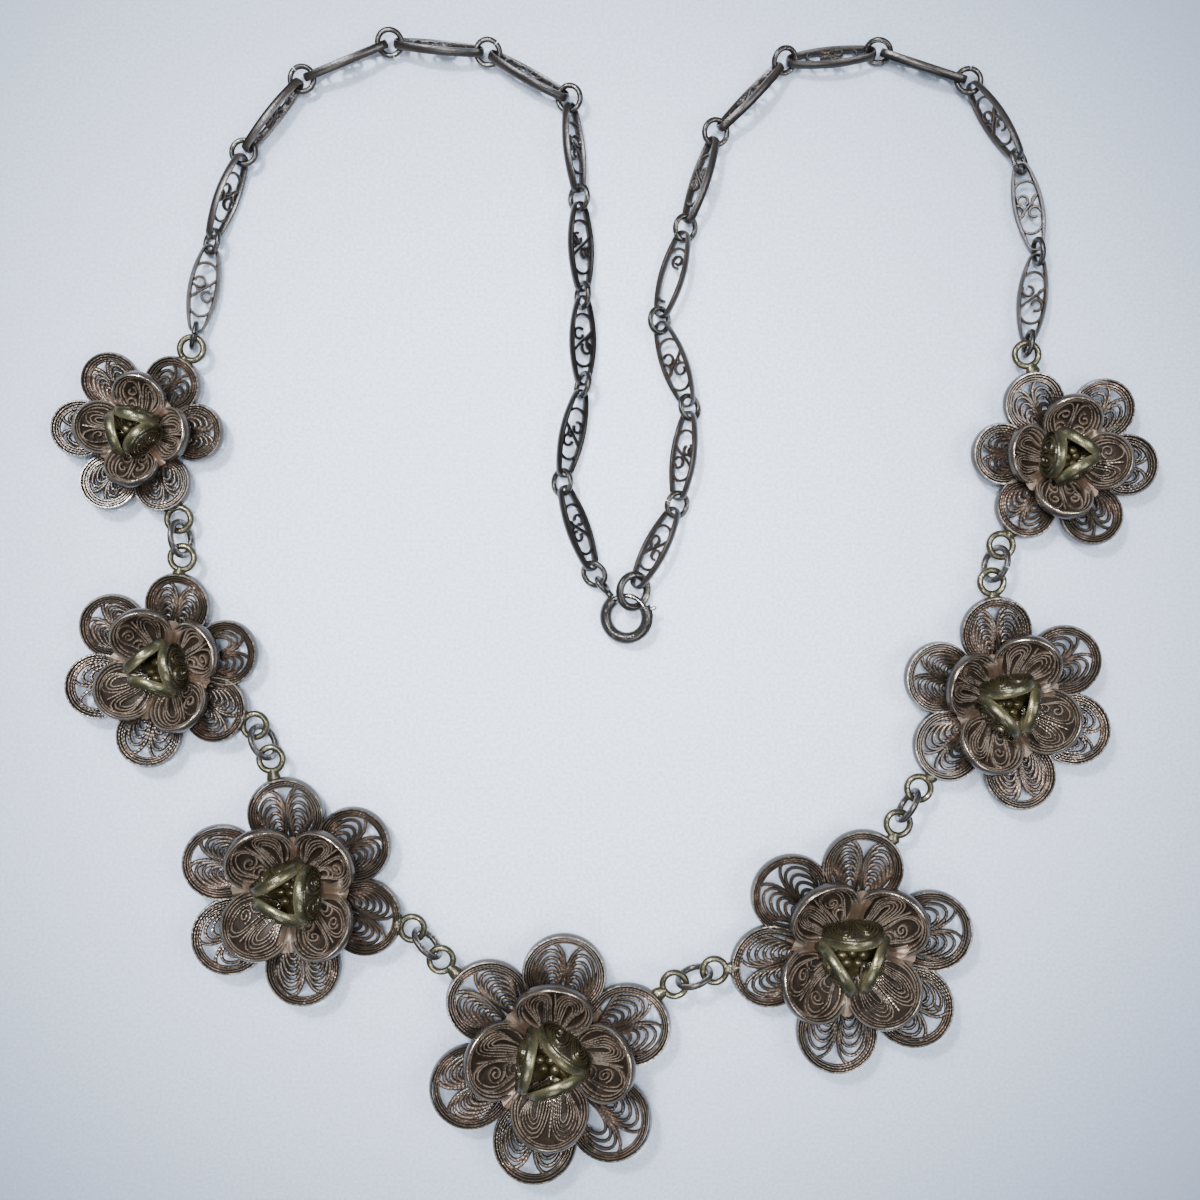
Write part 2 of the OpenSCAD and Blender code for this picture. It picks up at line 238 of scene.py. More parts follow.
def corners(mesh):
    """Where a mesh's corners are, in metres."""
    at = np.zeros(len(mesh.vertices) * 3, np.float32)
    mesh.vertices.foreach_get("co", at)
    return at.reshape(-1, 3).astype(float)


def set_corners(mesh, at):
    """Moves a mesh's corners, in metres."""
    mesh.vertices.foreach_set("co", at.astype(np.float32).ravel())
    mesh.update()


def lay(mesh, beds):
    """Moves a mesh from its own planes to where each bed lies, in place."""
    at = corners(mesh) / MM
    numbers = np.zeros(len(mesh.vertices), np.int32)
    if "bed" in mesh.attributes:
        mesh.attributes["bed"].data.foreach_get("value", numbers)
    out = np.empty_like(at)
    for number, place in enumerate(beds):
        chosen = numbers == number
        if chosen.any():
            out[chosen] = place(at[chosen])
    out[:, 0] -= LAYOUT_MIDDLE[0]
    out[:, 1] -= LAYOUT_MIDDLE[1]
    set_corners(mesh, out * MM)


def bed(at, turn=0.0, lean=0.0, roll=0.0, root=0.0, dish=0.0, centre=0.0):
    """Where a part that is drawn on its own plane lies: cupped by dish, rolled about its length,
    set out by root, leant up, turned about the upright and moved to its place."""
    a, b, c = radians(turn), radians(lean), radians(roll)

    def place(p):
        x, y, z = p[:, 0], p[:, 1], p[:, 2]
        if dish:
            z = z - dish * (1 - ((x - centre) ** 2 + y ** 2) / centre ** 2)
        y, z = y * cos(c) - z * sin(c), y * sin(c) + z * cos(c)
        x, z = root + x * cos(b) - z * sin(b), x * sin(b) + z * cos(b)
        return np.column_stack([at[0] + x * cos(a) - y * sin(a),
                                at[1] + x * sin(a) + y * cos(a), at[2] + z])
    return place


def solid(name, verts, faces, material):
    """A mesh of one material, from points in millimetres."""
    mesh = bpy.data.meshes.new(name)
    mesh.from_pydata((np.array(verts, float) * MM).tolist(), [], faces)
    mesh.materials.append(material)
    return mesh


def sheet_mesh(rows, thickness, metal, number, closed=False):
    """A thin solid sheet through a grid of points, rows by columns, to lie on the numbered bed. A
    closed one has rows that run round, as a disc does."""
    rows = np.array(rows, float)
    n, m = rows.shape[:2]
    top = rows.reshape(-1, 3) + [0, 0, thickness / 2]
    low = rows.reshape(-1, 3) - [0, 0, thickness / 2]
    verts = np.concatenate([top, low])
    faces, under = [], n * m
    for i in range(n - 1):
        for j in range(m if closed else m - 1):
            k = (j + 1) % m
            a, b, c, d = i * m + j, i * m + k, (i + 1) * m + k, (i + 1) * m + j
            faces.append((a, d, c, b))
            faces.append((under + a, under + b, under + c, under + d))
    if closed:
        rims = [[i * m + j for j in range(m)] for i in (0, n - 1)]
        loops = [rims[0] + rims[0][:1], (rims[1] + rims[1][:1])[::-1]]
    else:
        loop = list(range(m)) + [i * m + m - 1 for i in range(1, n)]
        loop += [(n - 1) * m + j for j in range(m - 2, -1, -1)]
        loops = [loop + [i * m for i in range(n - 2, -1, -1)]]
    for loop in loops:
        for a, b in zip(loop, loop[1:]):
            faces.append((a, b, under + b, under + a))
    mesh = solid("sheet", verts, faces, metal)
    mesh.attributes.new("bed", "INT", "POINT").data.foreach_set("value", [number] * len(verts))
    return mesh


def soldered(name, meshes):
    """Joins meshes into one piece, keeping each one's metal, with faces turned outwards."""
    body = bmesh.new()
    metals = []
    for mesh in meshes:
        numbers = []
        for metal in mesh.materials:
            if metal not in metals:
                metals.append(metal)
            numbers.append(metals.index(metal))
        was = np.zeros(len(mesh.polygons), np.int32)
        mesh.polygons.foreach_get("material_index", was)
        mesh.polygons.foreach_set("material_index", np.array(numbers, np.int32)[was])
        body.from_mesh(mesh)
        bpy.data.meshes.remove(mesh)
    bmesh.ops.recalc_face_normals(body, faces=body.faces)
    joined = bpy.data.meshes.new(name)
    body.to_mesh(joined)
    body.free()
    for metal in metals:
        joined.materials.append(metal)
    joined.shade_smooth()
    joined.set_sharp_from_angle(angle=radians(SHARP_FROM))
    return placed(name, joined)


# Width of a speck of dirt or wear
SPECK = 0.22


def silver(name, worn_and_highlight, dull, warm, deep, roughness, wear_and_highlight, warmth=0.5, patch=2.5, twist=0.0,
           bare=0.4, mottle=1.0, worn_and_highlit_both_edges=False):
    """Silver with its tarnish: dull and warm patches a few millimetres wide, dirt low in the wires,
    and a lighter worn colour on their upper edges, or on both, which is wear and a painted
    highlight. A twist beads a wire as twisting does. Patch and twist are sizes in millimetres."""
    metal = bpy.data.materials.new(name)
    metal.use_nodes = True
    tree = metal.node_tree
    shader = tree.nodes["Principled BSDF"]
    place = add(tree, "ShaderNodeTexCoord").outputs["Object"]
    clouds = add(tree, "ShaderNodeTexNoise",
                 {"Vector": place, "Scale": 1 / (patch * MM), "Detail": 4.0, "Roughness": 0.6})
    specks = add(tree, "ShaderNodeTexNoise",
                 {"Vector": place, "Scale": 1 / (SPECK * MM), "Detail": 2.0})
    warmed = add(tree, "ShaderNodeMapRange",
                 {"Value": clouds, "From Min": 0.62 - 0.3 * warmth, "From Max": 0.8 - 0.3 * warmth})
    brown = add(tree, "ShaderNodeMix", {"Factor": warmed, "A": linear(dull), "B": linear(warm)},
                data_type="RGBA")
    lift = add(tree, "ShaderNodeAttribute", attribute_name="lift").outputs["Fac"]
    dirt_noise = add(tree, "ShaderNodeMath", {0: specks, 1: 0.9}, operation="MULTIPLY")
    dirt_level = add(tree, "ShaderNodeMath", {0: dirt_noise, 1: lift}, operation="SUBTRACT")
    dirty = add(tree, "ShaderNodeMapRange",
                {"Value": dirt_level, "From Min": -0.3, "From Max": 1.1, "To Max": 0.85})
    soiled = add(tree, "ShaderNodeMix",
                 {"Factor": dirty, "A": brown.outputs[2], "B": linear(deep)}, data_type="RGBA")
    # The upper edges, or both edges, take the lighter worn colour: wear, and a painted highlight.
    spotty = add(tree, "ShaderNodeMath", {0: specks, 1: mottle, 2: 0.5 - 0.5 * mottle},
                 operation="MULTIPLY_ADD")
    wear_and_highlight_noise = add(tree, "ShaderNodeMath", {0: clouds, 1: spotty}, operation="ADD")
    edges = add(tree, "ShaderNodeMath", {0: lift}, operation="ABSOLUTE") if worn_and_highlit_both_edges else lift
    wear_and_highlight_level = add(tree, "ShaderNodeMath", {0: wear_and_highlight_noise, 1: edges}, operation="ADD")
    worn_and_highlit = add(tree, "ShaderNodeMapRange",
                 {"Value": wear_and_highlight_level, "From Min": 2.3 - wear_and_highlight, "From Max": 2.8 - wear_and_highlight})
    colour = add(tree, "ShaderNodeMix",
                 {"Factor": worn_and_highlit, "A": soiled.outputs[2], "B": linear(worn_and_highlight)}, data_type="RGBA")
    gloss = add(tree, "ShaderNodeMapRange",
                {"Value": worn_and_highlit, "To Min": roughness, "To Max": roughness * 0.6})
    shine = add(tree, "ShaderNodeMapRange", {"Value": worn_and_highlit, "To Min": bare})
    relief = add(tree, "ShaderNodeBump", {"Height": specks, "Strength": 0.5, "Distance": 0.05 * MM})
    if twist:
        along = add(tree, "ShaderNodeAttribute", attribute_name="along").outputs["Fac"]
        turns = add(tree, "ShaderNodeMath", {0: along, 1: 2 * pi / (twist * MM)},
                    operation="MULTIPLY")
        wave = add(tree, "ShaderNodeMath", {0: turns}, operation="SINE")
        relief = add(tree, "ShaderNodeBump",
                     {"Height": wave, "Strength": 0.22, "Distance": 0.03 * MM, "Normal": relief})
    for key, socket in (("Base Color", colour.outputs[2]), ("Roughness", gloss.outputs[0]),
                        ("Metallic", shine.outputs[0]), ("Normal", relief.outputs[0])):
        tree.links.new(socket, shader.inputs[key])
    return metal


# Rolled flat silver wire of the outer rims: brown-grey and dark, its upper edge rubbed bright:
# wear, and a painted highlight.
RIM_SILVER = silver("rolled_silver_rim", "#dad3c6", "#3a342d", "#4a3e33", "#131110", 0.2, wear_and_highlight=0.33,
                    patch=5.0, mottle=0.7)
# The bud's rims are of the same wire, handled most: smooth, olive and polished, their crowns
# lighter with wear and a painted highlight.
BUD_SILVER = silver("polished_olive_silver", "#d3d0bb", "#716e55", "#7a7050", "#2e2d22", 0.26,
                    wear_and_highlight=0.45, bare=0.7, mottle=0.25)
# Fine twisted wire of the outer petals: brown with dirt. Its beading is drawn coarser than it is.
SCROLL_SILVER = silver("twisted_silver_scroll", "#d6c9b9", "#332c25", "#514035", "#0f0d0a", 0.22,
                       wear_and_highlight=0.18, warmth=0.5, patch=3.2, twist=0.42)
# The same wire in the inner petals: pinkish copper tarnish, lighter on its crowns with wear and a
# painted highlight.
CUP_SILVER = silver("coppery_silver_scroll", "#d8cbbb", "#453c33", "#604d3f", "#110e0b", 0.24,
                    wear_and_highlight=0.42, warmth=0.7, patch=2.2, twist=0.42)
# The bud's own scrolls: olive gold, the least worn and the dirtiest.
BUD_SCROLL_SILVER = silver("olive_gold_scroll", "#ddd3a9", "#6b6342", "#7c6c45", "#1d1a10", 0.26,
                           wear_and_highlight=0.42, patch=1.6, twist=0.42, mottle=0.7)
# The inner petals' rims: brown-grey, smooth, with long bright gleams: real shine, and a painted
# highlight in the lighter colour of their worn crowns.
CUP_RIM_SILVER = silver("smooth_silver_rim", "#d6cec1", "#544c44", "#625549", "#1e1b17", 0.2,
                        wear_and_highlight=0.54, bare=0.65, mottle=0.4)
# Solder flooded under the bud's scrolls, and caught dirt: almost black brown and rough.
FLOOD_SILVER = silver("flooded_solder", "#5d5046", "#2a221b", "#3b2e25", "#120f0c", 0.5, wear_and_highlight=0.1,
                      patch=1.2)
# The same solder in the inner petals, thin and coppery, so that their scrolls stand out less.
WARM_FLOOD = silver("coppery_flooded_solder", "#6f5e50", "#30271f", "#43352b", "#15100d", 0.42,
                    wear_and_highlight=0.2, patch=1.2)
# Solder webbed over the petals' roots: pinkish tan, smooth and waxy with copper.
ROOT_SILVER = silver("coppery_root_solder", "#b39e8a", "#615041", "#775f4e", "#2e241b", 0.36,
                     wear_and_highlight=0.2, patch=2.2)
# Solder in the flower's heart: old gold, sheltered from rubbing, with a soft shine. Its colours are
# lighter than the loops' solder: painted light against the shade of the bud's petals.
LIGHTENED_HUB_SOLDER = silver("old_gold_solder", "#c8be94", "#4f4830", "#5a4e31", "#211c11", 0.3, wear_and_highlight=0.3,
                    patch=1.0)
# Solder of the loops: yellow-green, poured and a little glossy.
SOLDER = silver("pale_gold_solder", "#c2bd9f", "#383425", "#473f2b", "#14120c", 0.26, wear_and_highlight=0.34,
                patch=1.5, bare=0.5)


def teardrop(radius, inset, steps=34):
    """An outer petal's outline: a round tip tapering along its tangents to the flower's middle."""
    r = OUTER_WIDTH * radius / 2
    centre = radius - r
    half = asin(r / centre)
    apex = inset / sin(half)
    reach = pi / 2 + half
    arc = [(centre + (r - inset) * cos(a), (r - inset) * sin(a))
           for a in np.linspace(-reach, reach, steps)]
    first, last, tip = np.array(arc[0]), np.array(arc[-1]), np.array([apex, 0.0])
    quarters = np.linspace(0, 1, 5)[1:-1]
    there = [tip + t * (first - tip) for t in quarters]
    back = [last + t * (tip - last) for t in quarters]
    return np.array([tip, *there, *arc, *back])


def bend_by_hand(points, radius, phase, amount):
    """Lets a line waver as hand-bent wire does. Equal phases move neighbouring wires together."""
    p = np.array(points, float)
    u, v = p[:, 0] / radius, p[:, 1] / radius
    p[:, 0] += amount * radius * np.sin(5.1 * u + 7.3 * v + phase[0])
    p[:, 1] += amount * radius * np.sin(6.7 * u - 4.9 * v + phase[1])
    return p


def resampled(points, count):
    """The same line with evenly spaced points."""
    points = np.array(points, float)
    run = np.concatenate([[0], np.cumsum(np.linalg.norm(np.diff(points, axis=0), axis=1))])
    at = np.linspace(0, run[-1], count)
    return np.column_stack([np.interp(at, run, points[:, 0]), np.interp(at, run, points[:, 1])])


def hoop(base, top, inner, outer, side, foot, spread, steps):
    """A hoop of wire in one half of a petal. One leg runs beside the rim and one beside the petal's
    middle line, joined by a round crown, and both come together at a foot near the root."""
    middle, half = (inner + outer) / 2, (outer - inner) / 2
    crown = [(base + (top - base) * sin(a), middle + half * cos(a)) for a in np.linspace(0, pi, 15)]
    line = resampled([(foot[0], foot[1] + spread)] + crown + [(foot[0], foot[1] - spread)], 60)
    for _ in range(10):
        line[1:-1] = (line[:-2] + 2 * line[1:-1] + line[2:]) / 4
    line = resampled(line, steps)
    line[:, 1] *= side
    return line


def spiral(centre, inner, outer, start, turns, steps):
    """Points along a coil, from its heart outwards."""
    t = np.linspace(0, 1, steps)
    r = inner + (outer - inner) * t
    a = start + turns * 2 * pi * t
    return np.column_stack([centre[0] + r * np.cos(a), centre[1] + r * np.sin(a)])


def circle(radius, steps, centre=(0.0, 0.0), start=0.0, end=2 * pi):
    """Points round a circle. A whole turn leaves out the last one, which is the first."""
    whole = abs(end - start) > 2 * pi - 1e-6
    a = np.linspace(start, end, steps, endpoint=not whole)
    return np.column_stack([centre[0] + radius * np.cos(a), centre[1] + radius * np.sin(a)])


def lump(radius, height, z, foot, lobes, turn, rng, metal, rings=9, segments=64):
    """A lump of solder poured over a middle, running out between the petals that meet there."""
    rows = []
    phases = rng.uniform(0, 2 * pi, 4)
    around = np.linspace(0, 2 * pi, segments, endpoint=False)
    out = 1 + 0.3 * np.cos(lobes * (around - turn)) + 0.06 * np.sin(7 * around + phases[0])
    streak = 0.09 * np.sin(13 * around + phases[1]) + 0.07 * np.sin(23 * around + phases[2])
    for i in range(rings):
        t = i / (rings - 1)
        r = max(t, 0.02) * radius * out
        up = z + height * (1 - t ** 1.6) + streak * t * min(height, 0.6)
        rows.append(np.column_stack([r * np.cos(around), r * np.sin(around), up]))
    for share in (0.98, 0.03):
        rows.append(rows[-1] * [share, share, 0] + [0, 0, foot])
    faces = []
    for i in range(0, (len(rows) - 1) * segments, segments):
        for j in range(segments):
            k = (j + 1) % segments
            faces.append((i + j, i + segments + j, i + segments + k, i + k))
    faces.append(tuple(range(segments)))
    faces.append(tuple(range((len(rows) - 1) * segments, len(rows) * segments))[::-1])
    return solid("lump", np.concatenate(rows), faces, metal)


# Strands along the rims, each with its inset and height, and the wires of hoops and coils.
OUTER_STRANDS = ((0.13, 0.18), (0.39, 0.04), (0.65, 0.1))
CUP_STRANDS = ((0.14, 0.12), (0.46, 0.0))
STRAND_W = 0.28
STRAND_H = 0.55
HOOP_INSET = 0.62
HOOP_H = 0.5
MOST_HOOPS = 7
CUP_INSET = 0.8
CUP_WIRE_W = 0.27
CUP_WIRE_H = 0.6
CUP_HOOP_H = 0.64
CUP_PITCH = 0.46
SMALL_CUP = 5
SMALL_PITCH = 0.38
COILED_SHARE = 0.4
COIL_HEART = 0.15
COIL_H = 0.66
ANY_PHASE = (0, 6.28)


def cup_filling(d, rng, number):
    """The filling of a cupped petal: strands along the rim, then in each half a nest of hoops, some
    with a tight coil at its heart and shorter hoops below it, and a wire down the middle."""
    middle, rim = d / 2, d / 2 - STRIP_T
    wires = [Wire(circle(rim - inset, 40, (middle, 0), -2.75, 2.75), STRAND_W, CUP_WIRE_H, z,
                  bed=number) for inset, z in CUP_STRANDS]
    reach, phase = rim - CUP_INSET, rng.uniform(*ANY_PHASE, 2)
    pitch = CUP_PITCH if d > SMALL_CUP else SMALL_PITCH

    def put(line, shift, waver, height, z):
        line = bend_by_hand(line, d, phase + shift, waver)
        wires.append(Wire(line, CUP_WIRE_W, height, z, bed=number))

    for side in (-1, 1):
        lean, coiled = rng.uniform(-0.5, 0.5), rng.random() < COILED_SHARE
        for k in range(8):
            inner = 0.16 + (0.5 + 0.3 * lean) * pitch * k
            outer = reach - (0.72 - 0.3 * lean) * pitch * k
            base, top = middle - 0.12 * k, middle + 0.97 * reach - pitch * k * 1.15
            if outer - inner < 0.5 or top < middle:
                break
            if coiled and k == 1 + (d > 7):
                size = (outer - inner) / 2
                at = (base + 0.5 * size, side * (inner + outer) / 2)
                start, turns = rng.uniform(0, 6), side * (size - COIL_HEART) / pitch
                coil = spiral(at, COIL_HEART, size, start, turns, 12 + int(34 * size))
                put(coil, 0, 0.03, COIL_H, 0.1)
                for below in range(3):
                    top = at[0] - size - 0.2 - 0.55 * below
                    if top < 0.28 * d:
                        break
                    wide, foot = outer * (0.9 - 0.16 * below), (0.14 * d, 0.1 * d)
                    line = hoop(top - 0.6, top, inner + 0.1 * below, wide, side, foot, 0.02 * d, 17)
                    put(line, 0, 0.02, CUP_WIRE_H, 0.02)
                break
            foot = (d * (0.1 + 0.02 * k), d * (0.08 + 0.01 * k))
            line = hoop(base, top, inner, outer, side, foot, max(0.05, 0.05 * d - 0.06 * k), 21)
            put(line, 0.35 * k, 0.02, CUP_HOOP_H, rng.uniform(-0.12, 0.1))
    spine = [(d * 0.06, 0), (d * 0.4, 0.03 * d * rng.uniform(-1, 1)), (d * 0.8, 0)]
    wires.append(Wire(spine, STRAND_W, CUP_WIRE_H, 0.02, bed=number))
    return wires


FLOOD_T = 0.12
SOLDER_T = 0.3
WEBBED_SHARE = 0.8


def cup_flood(d, number, metal):
    """Solder flooded between the scrolls of a cupped petal, which stand out of it on both sides."""
    rim, rings = d / 2 - STRIP_T * 0.6, 7
    rows = [[(*p, -FLOOD_T / 2) for p in circle(rim * max(i / (rings - 1), 0.03), 28, (d / 2, 0))]
            for i in range(rings)]
    return sheet_mesh(rows, FLOOD_T, metal, number, closed=True)


def root_flood(radius, number, splay, rng):
    """Solder webbed over the root of an outer petal, thinning down to a ragged edge."""
    half = tan(radians(28))
    rows = []
    for i in range(9):
        t = i / 8
        x = radius * (0.1 + 0.42 * t)
        row = []
        for j in range(13):
            s = (j - 6) / 6
            ragged = t * radius * (0.11 * exp(-(s / 0.22) ** 2) + 0.09 * abs(s) ** 3
                                   - 0.5 * splay * (abs(s) - 0.5) ** 2 + rng.uniform(-0.012, 0.012))
            row.append((x - ragged, s * x * half, 0.34 - 0.48 * t ** 2 + rng.uniform(-0.04, 0.04)))
        rows.append(row)
    return sheet_mesh(rows, SOLDER_T, ROOT_SILVER, number)


def seam_web(radius, number, rng):
    """Solder run along the seam between two inner petals, over both rims, from the heart out."""
    rise, broad, reach = radians(INNER_RISE), rng.uniform(0.7, 1.35), rng.uniform(0.27, 0.33)
    sway = rng.uniform(-0.03, 0.03)
    rows = []
    for i in range(12):
        t = i / 11
        out = radius * (0.16 + reach * t)
        along = (out * sqrt(0.5) - INNER_ROOT * radius) / cos(rise)
        top = INNER_Z + along * sin(rise) + 0.55 - 1.6 * max(0, t - 0.7)
        half = radius * broad * (0.075 - 0.035 * sin(pi * t) + 0.02 * t * t)
        row = []
        for j in range(9):
            s = (j - 4) / 4
            ragged = radius * 0.03 * t * (1 - abs(s)) + rng.uniform(-0.12, 0.12) * t
            streak = 0.07 * sin(9 * s + 3 * broad) + rng.uniform(-0.04, 0.04)
            row.append((out + ragged, s * half + sway * radius * t,
                        top + 0.2 - 0.42 * s * s + streak))
        rows.append(row)
    return sheet_mesh(rows, SOLDER_T, ROOT_SILVER, number)


def outer_filling(index, number, phase, splay, lacy, rng):
    """The filling of an outer petal: strands along the rim, then in each half a nest of hoops, as
    many as are left there."""
    radius, wires = FLOWERS[index][2], []
    for inset, z in OUTER_STRANDS:
        line = bend_by_hand(teardrop(radius, STRIP_T + inset), radius, phase, 0.004)
        wires.append(Wire(line, STRAND_W, STRAND_H, z, True, number))
    half = OUTER_WIDTH / 2 / (1 - OUTER_WIDTH / 2)
    for side in (-1, 1):
        gap = (0.7 + 0.22 * lacy) * (0.55 + 0.032 * radius) * rng.uniform(0.92, 1.1)
        for k in range(HOOPS_LEFT.get((index, number, side), MOST_HOOPS)):
            base = (1 - OUTER_WIDTH / 2) * radius - k * (gap - 0.08) / 1.4
            inner, outer = 0.08 + 0.06 * k, half * base - STRIP_T - HOOP_INSET - 0.1 * k
            if outer - inner < 0.7:
                break
            foot = (min(0.42 * radius, base - 0.8), (0.05 + splay) * radius)
            line = hoop(base, base + 0.93 * outer, inner, outer, side, foot, 0.03 * radius, 30)
            line = bend_by_hand(line, radius, phase + 0.4 * k, 0.006)
            wires.append(Wire(line, 0.49 - 0.1 * lacy, HOOP_H, 0.0, bed=number))
    return wires


def dirt_crumb(petal, x, y, size):
    """A crumb of black dirt caught in a petal: a short fat wire with rounded ends."""
    t = np.linspace(-1, 1, 7)
    dome = np.sqrt(1.05 - t ** 2)
    line = np.column_stack([x + size / 2 * t, y + 0.1 * t ** 2, 0.3 + 0 * t])
    crumb = Wire(line, 0.5 * size * dome * (1 + 0.3 * t), 0.4 * size * dome, bed=petal)
    return draw_wires([crumb], FLOOD_SILVER, ROUND, 3)


def loop_middle(flower, which):
    """Where a flower's first or second loop has its middle, seen from above."""
    direction, distance = flower[5 + which]
    a = radians(direction)
    return np.array([flower[0] + distance * cos(a), flower[1] + distance * sin(a)])


def loop_height(flower):
    return ROOT_Z + flower[2] * sin(radians(OUTER_RISE)) - LOOP_DROP


# The solder of a loop, from the petals outwards.
BLOB_W = (0.5, 1.2, 1.6, 1.6, 1.45, 1.25, 0.9)
BLOB_H = (0.5, 0.85, 1.0, 1.0, 0.85, 0.75, 0.6)


def soldered_loops(flower):
    """Both loops of a flower, each with the solder that holds it between two petals' tips."""
    x, y, radius = flower[:3]
    meshes = []
    for which, (direction, distance) in enumerate(flower[5:]):
        loop = draw_wires([Wire(circle(LOOP_R, 36), LOOP_WIRE, closed=True)], SOLDER, ROUND, 3)
        lay(loop, [bed((*loop_middle(flower, which), loop_height(flower)))])
        start, end = 0.91 * radius, distance - LOOP_R + 0.15
        t = np.linspace(0, 1, len(BLOB_W))
        line = np.column_stack([start + (end - start) * t, 0 * t])
        blob = draw_wires([Wire(line, BLOB_W, BLOB_H)], SOLDER, ROUND, 3)
        lay(blob, [bed((x, y, loop_height(flower) + LOOP_DROP / 3), direction)])
        meshes += [loop, blob]
    return meshes


def heart(flower, rng):
    """The solder over and under a flower's middle, and its seven granules."""
    x, y, radius, inner_turn = flower[:4]
    hub = lump(HUB_R * radius, 1.4, 1.8, 0.9, 4, radians(inner_turn + 45), rng, LIGHTENED_HUB_SOLDER)
    base = lump(HUB_FOOT_R * radius, 0.15, ROOT_Z, 0, 6, 0, rng, SOLDER, rings=4)
    grains = []
    for k in range(7):
        out, a = (0.085 * radius if k else 0), 2 * pi * k / 6 + rng.uniform(-0.2, 0.2)
        size = rng.uniform(0.075, 0.1) * radius
        t = np.linspace(-1, 1, 7)
        spot = np.array([out * cos(a), out * sin(a), 3.2 + 0.4 * rng.random()])
        line = spot + np.column_stack([size / 2 * t, 0 * t, 0 * t])
        grains.append(Wire(line, size * np.sqrt(1.02 - t ** 2)))
    meshes = [hub, base, draw_wires(grains, LIGHTENED_HUB_SOLDER, ROUND, 3)]
    for mesh in meshes:
        lay(mesh, [bed((x, y, 0))])
    return meshes


# A flower's wires, each with its section's rounding and steps
FLOWER_WIRES = {RIM_SILVER: (0.3, 1), SCROLL_SILVER: (0.3, 1), CUP_RIM_SILVER: (0.4, 2),
                CUP_SILVER: (0.3, 1), BUD_SILVER: (0.45, 2), BUD_SCROLL_SILVER: (0.3, 1)}


def make_flower(index):
    """One flower: outer petals, cupped petals and bud, then solder, loops and heart."""
    flower = FLOWERS[index]
    x, y, radius, inner_turn, bud_turn = flower[:5]
    rng = np.random.default_rng(FLOWER_SEED + index)
    beds, sheets, wires = [], [], {metal: [] for metal in FLOWER_WIRES}
    for number, turn in enumerate(PETAL_TURNS[index]):
        rise = OUTER_RISE + RISE_WAVER * sin(radians(5 * turn))
        beds.append(bed((x, y, ROOT_Z), turn, rise))
        phase = rng.uniform(*ANY_PHASE, 2)
        rim = Wire(teardrop(radius, STRIP_T / 2), STRIP_T, STRIP_H, 0, True, number)
        wires[RIM_SILVER].append(rim)
        splay, lacy = rng.uniform(0.0, 0.07), rng.random()
        wires[SCROLL_SILVER] += outer_filling(index, number, phase, splay, lacy, rng)
        sheets.append(root_flood(radius, number, splay, rng))
    for share, bends, rise, root, z, start, rim_metal, metal, flood in (
            (INNER_D, INNER_BENDS, INNER_RISE, INNER_ROOT, INNER_Z, inner_turn,
             CUP_RIM_SILVER, CUP_SILVER, WARM_FLOOD),
            (BUD_D, BUD_BENDS, BUD_RISE, BUD_ROOT, BUD_Z, bud_turn,
             BUD_SILVER, BUD_SCROLL_SILVER, FLOOD_SILVER)):
        d = share * radius
        for turn, extra, up in bends:
            number = len(beds)
            place = (x, y, z + up)
            beds.append(bed(place, start + turn, rise + extra, 0, root * radius, CUP * d, d / 2))
            ring = circle((d - STRIP_T) / 2, 56, (d / 2, 0))
            wires[rim_metal].append(Wire(ring, STRIP_T, STRIP_H, 0, True, number))
            wires[metal] += cup_filling(d, rng, number)
            sheets.append(cup_flood(d, number, flood))
    web_rng = np.random.default_rng(WEB_SEED + index)
    for seam in range(4):
        beds.append(bed((x, y, 0), inner_turn + 45 + 90 * seam))
        if web_rng.random() < WEBBED_SHARE:
            sheets.append(seam_web(radius, len(beds) - 1, web_rng))
    meshes = sheets + [draw_wires(lines, metal, *FLOWER_WIRES[metal])
                       for metal, lines in wires.items()]
    if index in CAUGHT_DIRT:
        meshes.append(dirt_crumb(*CAUGHT_DIRT[index]))
    for mesh in meshes:
        lay(mesh, beds)
    meshes += soldered_loops(flower) + heart(flower, rng)
    piece = soldered("flower_%d_filigree" % (index + 1), meshes)
    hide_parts("flower_%d" % (index + 1))
    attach(piece, "necklace")


for index in range(len(FLOWERS)):
    make_flower(index)


# The six jump rings between the flowers, standing through two loops and leaning aside: round silver
# wire cut from a coil and closed by hand, never soldered, so each has a fine seam.
RING_D = 4.46
RING_WIRE = 0.72
RING_SAG = 0.3
RING_LEANS = (71, 65, 79, 74, 86, 66)
TABLE_GAP = 0.05
SEAM = 0.05
SEAM_STEP = 0.03

# Round silver wire of the jump rings: purplish gunmetal, shiny along its crown where it rubs, the
# lighter colour there wear and a painted highlight.
RING_SILVER = silver("jump_ring_silver", "#bcb7b0", "#353230", "#3e3831", "#131210", 0.26,
                     wear_and_highlight=0.38, patch=1.8)


def cut_ring(radius, wire, seam_at, number=0):
    """A jump ring with its seam, a hair open and a little out of line."""
    gap = SEAM / radius
    line = circle(radius, 40, (0, 0), seam_at + gap, seam_at + 2 * pi - gap)
    step = np.linspace(-SEAM_STEP, SEAM_STEP, 40)
    return Wire(np.column_stack([line, step]), wire, bed=number)


